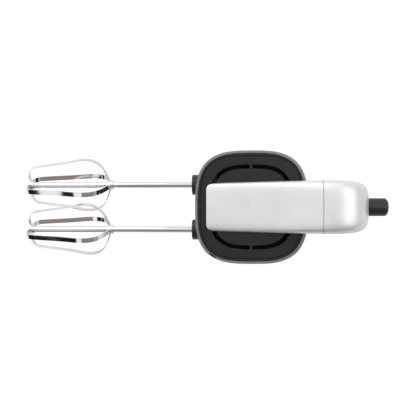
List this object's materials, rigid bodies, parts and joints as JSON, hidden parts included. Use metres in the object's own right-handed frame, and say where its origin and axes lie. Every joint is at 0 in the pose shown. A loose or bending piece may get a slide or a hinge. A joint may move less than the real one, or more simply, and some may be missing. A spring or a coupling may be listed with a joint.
{
  "type": "hand mixer",
  "caption": "Electric hand mixer with a closed loop handle, silver handle covers over a black motor body, eject post and meshing wire beaters.",
  "frame": {"origin": "on the heel plane that the mixer stands on, below the middle of the motor body", "axes": "+X up in use (handle), -X towards the beaters, +Y the user's right, +Z the mixer's nose, pointing up when it stands on its heel"},
  "size_m": [0.3011, 0.0952, 0.1704],
  "materials": {
    "black_plastic": "moulded, fine texture",
    "silver_paint": "silver metallic paint over plastic",
    "gloss_black": "smooth moulded",
    "rubber": "soft",
    "steel": "zinc plated",
    "lamination": "stacked sheet",
    "copper": "enamelled winding wire",
    "brass": "drawn",
    "carbon": "pressed carbon",
    "white_plastic": "moulded",
    "board": "laminate",
    "chrome": "polished"
  },
  "bodies": {
    "housing": {"left_housing": "black_plastic", "right_housing": "black_plastic", "handle_front_cover": "silver_paint", "handle_top_cover": "silver_paint", "vent_baffle": "gloss_black", "heel_foot": "rubber", "cord_gland": "rubber", "housing_screws": "steel", "stator_core": "lamination", "field_coils": "copper", "rear_motor_plate": "white_plastic", "rear_bearing": "brass", "front_bearing": "brass", "brush_tubes": "brass", "carbon_brushes": "carbon", "brush_springs": "steel", "gearbox_frame": "white_plastic", "gear_bearing_plate": "white_plastic", "socket_collars": "gloss_black", "eject_guide": "white_plastic", "eject_spring": "steel", "speed_switch": "white_plastic", "circuit_board": "board", "turbo_switch": "gloss_black"},
    "rotor": {"armature_shaft": "steel", "armature_core": "lamination", "armature_windings": "copper", "commutator": "copper", "cooling_fan": "white_plastic", "drive_worm": "steel"},
    "left_gear": {"left_drive_gear": "white_plastic", "left_shaft_clip": "steel"},
    "right_gear": {"right_drive_gear": "white_plastic", "right_shaft_clip": "steel"},
    "left_beater": {"left_beater_shaft": "chrome", "left_beater_blades": "chrome"},
    "right_beater": {"right_beater_shaft": "chrome", "right_beater_blades": "chrome"},
    "eject": {"eject_button": "gloss_black", "eject_rod": "steel", "eject_fork": "white_plastic"},
    "slider": {"speed_slider": "gloss_black"},
    "turbo": {"turbo_button": "gloss_black"}
  },
  "joints": [
    {"name": "rotor_spin", "type": "hinge", "parent": "housing", "child": "rotor", "pos_m": [-0.013, 0, 0.06], "axis": [0, 0, 1], "continuous": true},
    {"name": "left_gear_spin", "type": "hinge", "parent": "housing", "child": "left_gear", "pos_m": [-0.013, -0.019, 0.12], "axis": [1, 0, 0], "continuous": true},
    {"name": "right_gear_spin", "type": "hinge", "parent": "housing", "child": "right_gear", "pos_m": [-0.013, 0.019, 0.12], "axis": [1, 0, 0], "continuous": true},
    {"name": "left_beater_release", "type": "slide", "parent": "left_gear", "child": "left_beater", "axis": [-1, 0, 0], "range_m": [0, 0.008]},
    {"name": "right_beater_release", "type": "slide", "parent": "right_gear", "child": "right_beater", "axis": [-1, 0, 0], "range_m": [0, 0.008]},
    {"name": "eject_press", "type": "slide", "parent": "housing", "child": "eject", "axis": [-1, 0, 0], "range_m": [0, 0.008], "stiffness_N_per_m": 900, "springref_m": -0.006, "deforming": ["eject_spring"]},
    {"name": "speed_select", "type": "slide", "parent": "housing", "child": "slider", "axis": [0, 0, -1], "range_m": [0, 0.02]},
    {"name": "turbo_press", "type": "slide", "parent": "housing", "child": "turbo", "axis": [-1, 0, 0], "range_m": [0, 0.0025], "stiffness_N_per_m": 800, "springref_m": -0.002}
  ],
  "couplings": [
    {"joint": "left_gear_spin", "follows": "rotor_spin", "ratio": -0.071429},
    {"joint": "right_gear_spin", "follows": "rotor_spin", "ratio": 0.071429},
    {"joint": "left_beater_release", "follows": "eject_press", "ratio": 1},
    {"joint": "right_beater_release", "follows": "eject_press", "ratio": 1}
  ]
}
